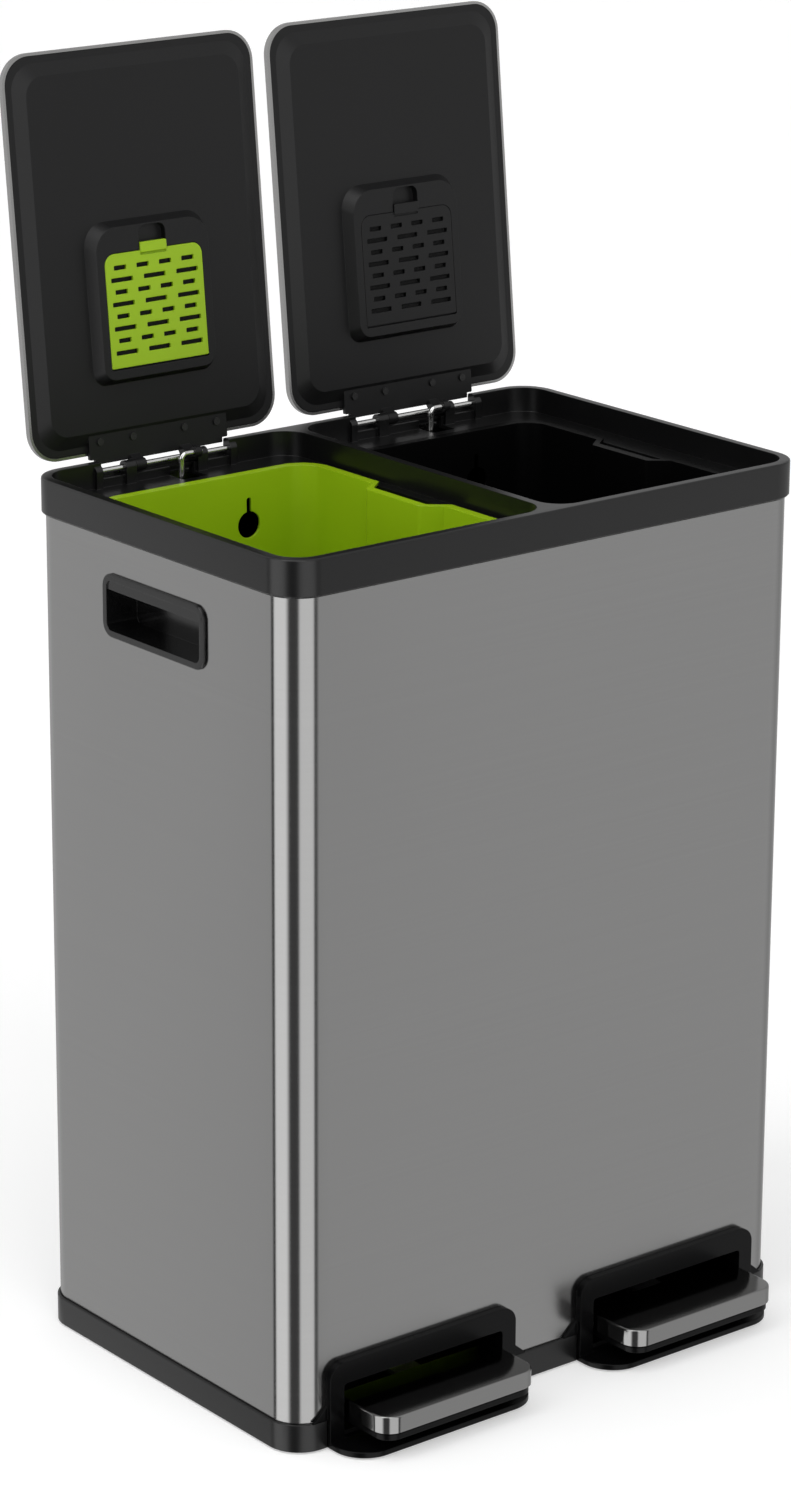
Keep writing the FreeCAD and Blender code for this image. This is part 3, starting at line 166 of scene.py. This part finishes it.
# %% Brushed steel
def brushed_steel(name, scale, colour, roughness, smear=0.0, seam=False):
    """Steel whose streaks run along the axes with a small scale."""
    steel = Finish(name, Metallic=1.0, Anisotropic=smear, Anisotropic_Rotation=0.25)
    streaks = steel.noise(1.0, 3.0, 0.65, steel.stretched(scale))
    soft = steel.noise(4.0, 2.0)
    dark = [c * 0.95 for c in colour]
    pale = [c * 1.05 for c in colour]
    tone = steel.tint(streaks, dark, pale)
    if seam:
        tone = steel.tint(seam_line(steel), None, (0.02, 0.02, 0.02), tone)
    steel.feed(Base_Color=tone, Roughness=streaks * 0.08 + soft * 0.04 + (roughness - 0.06))
    return steel.feed(Normal=steel.bump(streaks, 0.000012, 0.5)).material


def seam_line(steel):
    """1 on the hairline down the middle of the back where the sheet's end lies, and 0 elsewhere."""
    axes = steel.tree.nodes.new("ShaderNodeSeparateXYZ")
    steel.tree.links.new(steel.place().output, axes.inputs[0])
    across, depth = Socket(steel, axes.outputs[0]), Socket(steel, axes.outputs[1])
    near = (across - SEAM_X).math("ABSOLUTE", 0.0).math("LESS_THAN", SEAM_HALF)
    return near * depth.math("GREATER_THAN", BACK_Y)


SEAM_X = 7.0 * MM
SEAM_HALF = 0.35 * MM
BACK_Y = 100.0 * MM
STEEL_GREY = (0.292, 0.291, 0.289)
wrap_steel = brushed_steel("wrap steel", (3.0, 3.0, 1500.0), STEEL_GREY, 0.18, 0.5, seam=True)
lid_steel = brushed_steel("lid steel", (3.0, 1500.0, 1500.0), (0.36, 0.358, 0.354), 0.22)
tread_steel = brushed_steel("tread steel", (4.0, 1500.0, 1500.0), (0.25, 0.249, 0.247), 0.12)
print("steels:", wrap_steel.name, lid_steel.name, tread_steel.name)

# %% [markdown]
# Moulded plastic copies the spark-eroded face of its mould: a very fine, even grain
# that breaks up the shine. Larger, faint clouds stand for the way a big moulding
# cools. A moulding has no knife edges, so the shader also rounds each edge a little,
# and a thin line of light runs along it. One recipe makes every plastic piece.


# %% Moulded plastic
def moulded(name, colour, roughness, grain=0.00003, level=0.4, edge=0.0006):
    """Plastic with a fine moulded grain; level is how strongly it shines."""
    plastic = Finish(name, Specular_IOR_Level=level)
    pits = plastic.noise(2200.0, 2.0)
    clouds = plastic.noise(14.0, 3.0)
    dark = [c * 0.93 for c in colour]
    pale = [min(1.0, c * 1.07) for c in colour]
    plastic.feed(Base_Color=plastic.tint(clouds, dark, pale))
    plastic.feed(Roughness=pits * 0.10 + clouds * 0.06 + (roughness - 0.08))
    return plastic.feed(Normal=plastic.bump(pits, grain, 0.5, edge)).material


black_plastic = moulded("black plastic", (0.004, 0.004, 0.0042), 0.30, level=0.42)
handle_plastic = moulded("handle plastic", (0.004, 0.004, 0.0042), 0.18, level=0.45)
bezel_plastic = moulded("bezel plastic", (0.002, 0.002, 0.0022), 0.26, level=0.13)
liner_plastic = moulded("liner plastic", (0.0055, 0.0055, 0.0058), 0.40, level=0.3)
green_plastic = moulded("green plastic", (0.31, 0.50, 0.006), 0.34, edge=0.0009)
dark_plastic = moulded("dark bucket plastic", (0.0012, 0.0012, 0.0013), 0.36, level=0.12)
rubber = moulded("foot rubber", (0.012, 0.012, 0.012), 0.8, 0.00006, 0.2)
print("plastics ready")

# %% [markdown]
# The wire and the pins are bright drawn steel, the levers and brackets are zinc
# plated, the screws are blackened, and the filter is a felt of charcoal fibre.

# %% Small metals and felt
wire = Finish("bright wire", Metallic=1.0)
wire.feed(Base_Color=wire.tint(wire.noise(300.0), (0.60, 0.60, 0.59), (0.72, 0.72, 0.71)))
wire.feed(Roughness=wire.noise(500.0) * 0.15 + 0.12)
zinc = Finish("zinc plate", Metallic=1.0)
spangle = zinc.noise(180.0, 3.0)
zinc.feed(Base_Color=zinc.tint(spangle, (0.42, 0.43, 0.44), (0.62, 0.63, 0.64)))
zinc.feed(Roughness=spangle * 0.25 + 0.25)
screw_black = Finish("screw black", Metallic=0.6)
oxide = screw_black.noise(800.0)
screw_black.feed(Base_Color=screw_black.tint(oxide, (0.015, 0.015, 0.015), (0.05, 0.05, 0.05)))
screw_black.feed(Roughness=screw_black.noise(900.0) * 0.2 + 0.25)
felt = Finish("charcoal felt", Specular_IOR_Level=0.1)
fibre = felt.noise(900.0, 5.0, 0.7)
felt.feed(Base_Color=felt.tint(fibre, (0.006, 0.006, 0.006), (0.03, 0.03, 0.03)))
felt.feed(Roughness=fibre * 0.1 + 0.85, Normal=felt.bump(fibre, 0.0004))
print("small finishes ready")

# %% [markdown]
# The CAD meshes are loose triangles. A small modifier joins them, shades their round
# parts smooth and keeps their real edges sharp, without touching the stored mesh.

# %% Smooth the carried pieces
smoother = bpy.data.node_groups.new("smooth rounds", "GeometryNodeTree")
smoother.interface.new_socket("Geometry", in_out="INPUT", socket_type="NodeSocketGeometry")
smoother.interface.new_socket("Geometry", in_out="OUTPUT", socket_type="NodeSocketGeometry")
g = smoother.nodes
g_in, g_out = g.new("NodeGroupInput"), g.new("NodeGroupOutput")
merge = g.new("GeometryNodeMergeByDistance")
merge.inputs["Distance"].default_value = 0.000002
faces_on = g.new("GeometryNodeSetShadeSmooth")
faces_on.domain = "FACE"
faces_on.inputs["Shade Smooth"].default_value = True
edges_off = g.new("GeometryNodeSetShadeSmooth")
edges_off.domain = "EDGE"
edges_off.inputs["Shade Smooth"].default_value = False
angle = g.new("GeometryNodeInputMeshEdgeAngle")
above = g.new("FunctionNodeCompare")
above.data_type, above.operation = "FLOAT", "GREATER_THAN"
limit = smoother.interface.new_socket("Sharp above", in_out="INPUT", socket_type="NodeSocketFloat")
SHARP_ABOVE, LINER_SHARP_ABOVE = 28.0, 15.0
limit.default_value = math.radians(SHARP_ABOVE)
for a, b in ((g_in.outputs[0], merge.inputs[0]), (merge.outputs[0], faces_on.inputs[0]),
             (faces_on.outputs[0], edges_off.inputs[0]), (edges_off.outputs[0], g_out.inputs[0]),
             (angle.outputs["Unsigned Angle"], above.inputs["A"]), (g_in.outputs[1], above.inputs["B"]),
             (above.outputs[0], edges_off.inputs["Selection"])):
    smoother.links.new(a, b)


def dress(node, material, sharp_above):
    """Gives a carried CAD node its finish and the smoothing modifier; sharp_above is in degrees."""
    piece = nodes[node]
    piece.data.materials.clear()
    piece.data.materials.append(material)
    rounds = piece.modifiers.new("smooth rounds", "NODES")
    rounds.node_group = smoother
    rounds[limit.identifier] = math.radians(sharp_above)


FINISH_OF = {
    "body_shell": wrap_steel, "top_rim": black_plastic, "base_tray": black_plastic,
    "rubber_feet": rubber, "bracket_screws": screw_black.material,
    "handle_insert": handle_plastic, "pedal_bezel": bezel_plastic, "pedal_cover": tread_steel,
    "pedal_core": bezel_plastic, "pedal_lever": zinc.material, "lever_bracket": zinc.material,
    "lever_pin": wire.material, "push_rod": wire.material, "rod_guide": black_plastic,
    "hinge_pin": wire.material, "lid_skin": lid_steel, "lid_liner": liner_plastic,
    "lid_screws": screw_black.material, "filter_pad": felt.material,
    "filter_cover_left": green_plastic, "filter_cover_right": liner_plastic,
    "bucket_left": green_plastic, "bucket_right": dark_plastic,
}
for node in nodes:
    kind = node.removesuffix("_left").removesuffix("_right")
    sharp_above = LINER_SHARP_ABOVE if kind == "lid_liner" else SHARP_ABOVE
    dress(node, FINISH_OF.get(node) or FINISH_OF[kind], sharp_above)
print("dressed:", len(nodes))

# %% [markdown]
# The studio is a light tent. Its wall has pale and dark bands side by side, and the
# steel's folded corner shows them as bright and dark stripes. A band is given by the
# direction in which it stands, counted from the front towards the right.
# The camera itself sees plain white, as the photograph's background was cleared.

# %% The tent
BANDS = ((-180, 0.76), (-150, 0.78), (-135, 0.76), (-131, 0.05), (-124, 0.05), (-120, 1.85),
         (-78, 1.85), (-66, 0.12), (-38, 0.12), (-30, 1.55), (14, 1.55), (19, 0.15),
         (26, 0.15), (31, 0.76), (60, 0.76), (90, 0.5), (179, 0.6))
room = bpy.data.worlds.new("room")
room.use_nodes = True
tent = room.node_tree.nodes
aim, axes = tent.new("ShaderNodeTexCoord"), tent.new("ShaderNodeSeparateXYZ")
turn, flip = tent.new("ShaderNodeMath"), tent.new("ShaderNodeMath")
share, ramp = tent.new("ShaderNodeMapRange"), tent.new("ShaderNodeValToRGB")
flip.operation, flip.inputs[1].default_value = "MULTIPLY", -1.0
turn.operation = "ARCTAN2"
share.inputs["From Min"].default_value, share.inputs["From Max"].default_value = -math.pi, math.pi
while len(ramp.color_ramp.elements) < len(BANDS):
    ramp.color_ramp.elements.new(0.5)
BRIGHTEST = 4.0
for band, (azimuth, level) in zip(ramp.color_ramp.elements, BANDS):
    band.position = azimuth / 360 + 0.5
    band.color = (level / BRIGHTEST, level / BRIGHTEST, level / BRIGHTEST, 1)
path, white = tent.new("ShaderNodeLightPath"), tent.new("ShaderNodeBackground")
screen = tent.new("ShaderNodeMixShader")
wall, out = tent["Background"], tent["World Output"]
wall.inputs["Strength"].default_value = BRIGHTEST
white.inputs["Color"].default_value = (1, 1, 1, 1)
for a, b in ((aim.outputs["Generated"], axes.inputs[0]), (axes.outputs[1], flip.inputs[0]),
             (axes.outputs[0], turn.inputs[0]), (flip.outputs[0], turn.inputs[1]),
             (turn.outputs[0], share.inputs[0]),
             (share.outputs[0], ramp.inputs[0]), (ramp.outputs[0], wall.inputs["Color"]),
             (path.outputs["Is Camera Ray"], screen.inputs[0]), (wall.outputs[0], screen.inputs[1]),
             (white.outputs[0], screen.inputs[2]), (screen.outputs[0], out.inputs["Surface"])):
    room.node_tree.links.new(a, b)
bpy.context.scene.world = room
bpy.context.scene.view_settings.view_transform = "Standard"
print("bands:", len(BANDS))

# %% [markdown]
# The floor takes the soft shadow. Seen by the camera it is lifted to white, and the
# steel looks through it, so that the stripes run all the way down.


# %% The floor
def flat_sheet(name, corners):
    """A flat four-sided mesh through the given corners."""
    mesh = bpy.data.meshes.new(name)
    mesh.from_pydata(corners, [], [(0, 1, 2, 3)])
    sheet = bpy.data.objects.new(name, mesh)
    bpy.context.scene.collection.objects.link(sheet)
    return sheet


FLOOR_HALF = 40.0
FLOOR_LIFT = 0.2
floor = flat_sheet("studio_floor", [(-FLOOR_HALF, -FLOOR_HALF, 0), (FLOOR_HALF, -FLOOR_HALF, 0),
                                    (FLOOR_HALF, FLOOR_HALF, 0), (-FLOOR_HALF, FLOOR_HALF, 0)])
floor_finish = Finish("floor", Roughness=0.9, Specular_IOR_Level=0.1)
floor_finish.shader.inputs["Base Color"].default_value = (0.9, 0.9, 0.9, 1)
glow = floor_finish.node("ShaderNodeEmission", None, {"Color": (1, 1, 1, 1), "Strength": 2.0})
clear = floor_finish.node("ShaderNodeBsdfTransparent")
rays = floor_finish.tree.nodes.new("ShaderNodeLightPath")
seen = Socket(floor_finish, rays.outputs["Is Camera Ray"])
mirrored = Socket(floor_finish, rays.outputs["Is Glossy Ray"])
lit = Socket(floor_finish, floor_finish.shader.outputs[0])
lifted = floor_finish.node("ShaderNodeMixShader", None, {0: seen * FLOOR_LIFT, 1: lit, 2: glow})
both = floor_finish.node("ShaderNodeMixShader", None, {0: mirrored, 1: lifted, 2: clear})
floor_finish.tree.links.new(both.output, floor_finish.tree.nodes["Material Output"].inputs["Surface"])
floor.data.materials.append(floor_finish.material)
print("floor ready")


# %% The lamps
def softbox(name, azimuth, distance, height, wide, tall, radiance):
    """A rectangular lamp that faces the bin; azimuth is counted from the front towards the right."""
    lamp = bpy.data.lights.new(name, "AREA")
    lamp.shape, lamp.size, lamp.size_y = "RECTANGLE", wide, tall
    lamp.energy = radiance * math.pi * wide * tall
    holder = bpy.data.objects.new(name, lamp)
    bpy.context.scene.collection.objects.link(holder)
    turn = math.radians(azimuth)
    holder.location = (distance * math.sin(turn), -distance * math.cos(turn), height)
    aim = Vector((0, 0, 0.4)) - holder.location
    holder.rotation_euler = aim.to_track_quat("-Z", "Y").to_euler()
    return holder


softbox("top softbox", -60, 1.0, 2.6, 1.8, 1.8, 1.2)
print("lamps ready")
